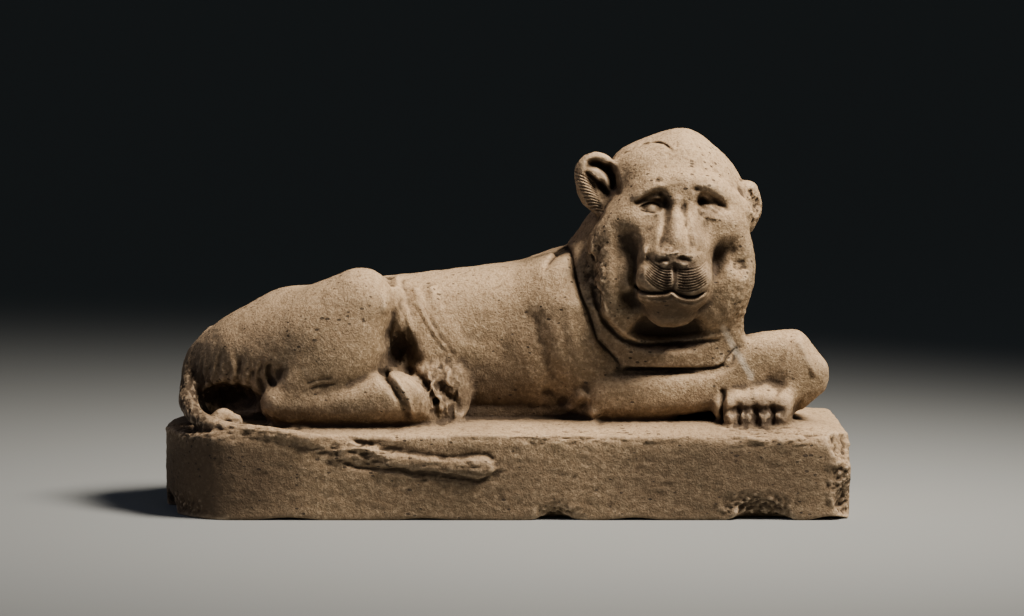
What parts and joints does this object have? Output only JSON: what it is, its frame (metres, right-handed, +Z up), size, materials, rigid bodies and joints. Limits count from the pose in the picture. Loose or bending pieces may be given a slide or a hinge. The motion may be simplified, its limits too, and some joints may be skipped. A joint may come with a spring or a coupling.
{
  "type": "limestone lion statue",
  "caption": "Recumbent lion with its head turned to the side and its forepaws crossed, carved in one block with a low plinth that is rounded behind; stands by its own weight.",
  "frame": {"origin": "centre of the plinth's underside", "axes": "+X the way the lion's body points, -Y the side its face looks to, +Z up"},
  "size_m": [1.06, 0.39, 0.5926],
  "materials": {
    "limestone": "weathered buff limestone, dull, with tool marks, small pits and brown dirt in the hollows"
  },
  "bodies": {
    "root": {"lion": "limestone"}
  },
  "joints": []
}
